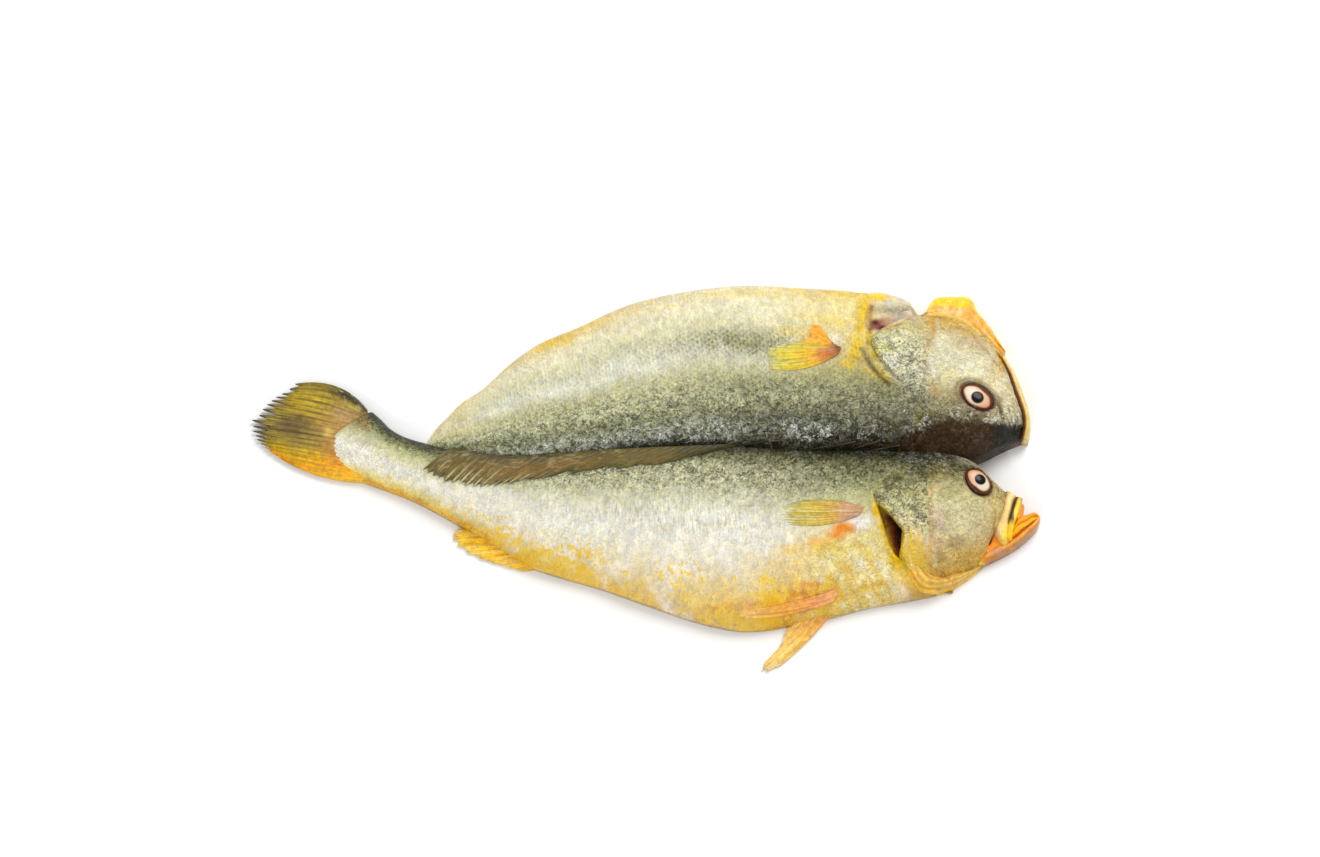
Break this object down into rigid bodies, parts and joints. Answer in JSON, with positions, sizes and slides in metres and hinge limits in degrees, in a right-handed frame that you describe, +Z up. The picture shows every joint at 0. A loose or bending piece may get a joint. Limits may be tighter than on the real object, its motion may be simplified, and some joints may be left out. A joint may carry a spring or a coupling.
{
  "type": "split salted fish",
  "caption": "Salted croaker opened along the belly and spread flat, skin side up, with both halves of its head, its fins and its tail.",
  "frame": {"origin": "middle of the fish's outline in plan, on the surface that it rests on", "axes": "+Z up out of the skin side, +X from the tail to the heads, +Y to the half without the tail"},
  "size_m": [0.2983, 0.1541, 0.0233],
  "materials": {
    "skin": "wet fish skin with small scales, dark olive back, silvery sides and golden yellow belly",
    "eyeball": "clear wet eye with a cream iris and a dark pupil"
  },
  "bodies": {
    "root": {"split_fish": "skin", "eye_near": "eyeball", "eye_far": "eyeball"}
  },
  "joints": []
}
